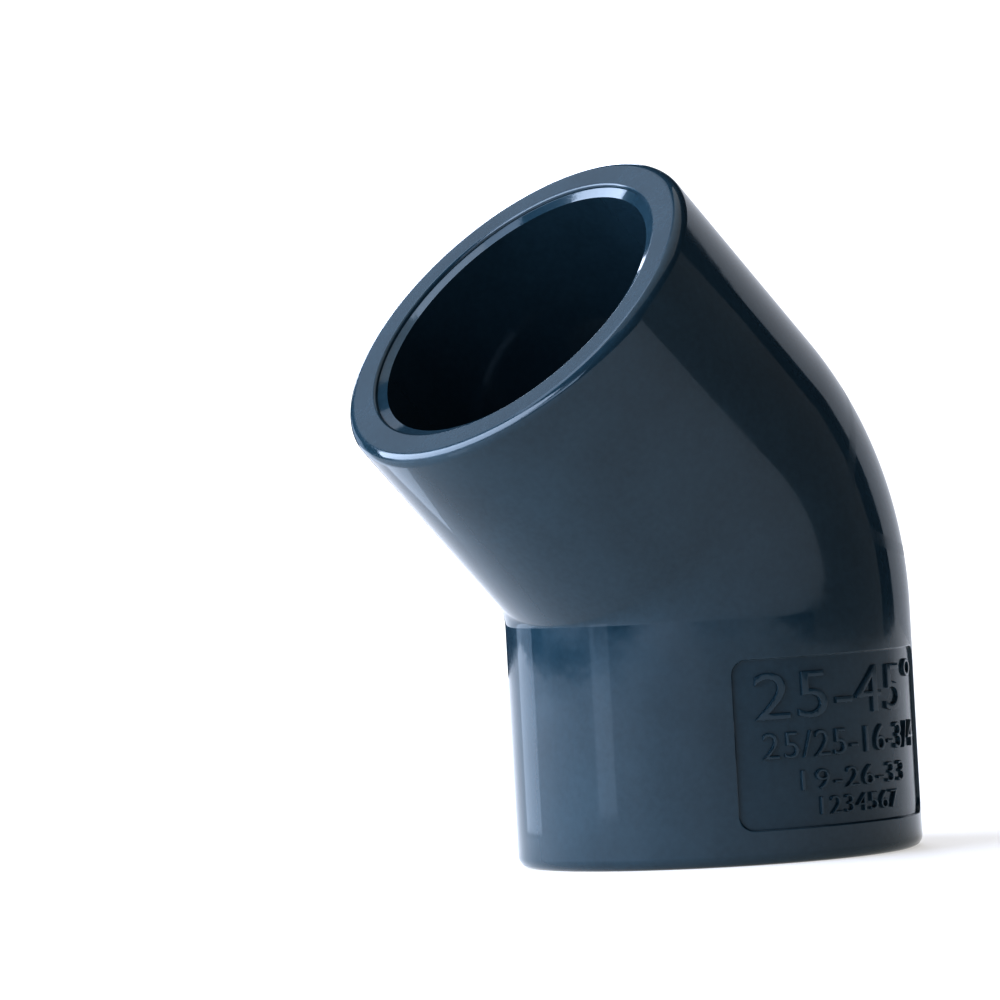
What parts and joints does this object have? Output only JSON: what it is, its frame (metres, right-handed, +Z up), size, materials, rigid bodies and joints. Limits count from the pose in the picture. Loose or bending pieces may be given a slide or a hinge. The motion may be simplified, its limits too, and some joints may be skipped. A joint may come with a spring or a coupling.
{
  "type": "pipe elbow fitting",
  "caption": "45 degree PVC-U pressure pipe elbow, moulded in one piece, with two equal sockets for gluing 25 mm pipe and a marked panel on one side.",
  "frame": {"origin": "centre of the lower socket's mouth, in the plane of its rim face, on which the fitting stands", "axes": "+Z up along the lower socket's axis into the fitting; the upper socket leans 45 degrees from +Z towards +X; the marking panel is on the +Y side"},
  "size_m": [0.0461, 0.0326, 0.056],
  "materials": {
    "pvc_u_grey": "injection-moulded PVC-U, dark slate grey, satin to semi-gloss"
  },
  "bodies": {
    "root": {"elbow_body": "pvc_u_grey"}
  },
  "joints": []
}
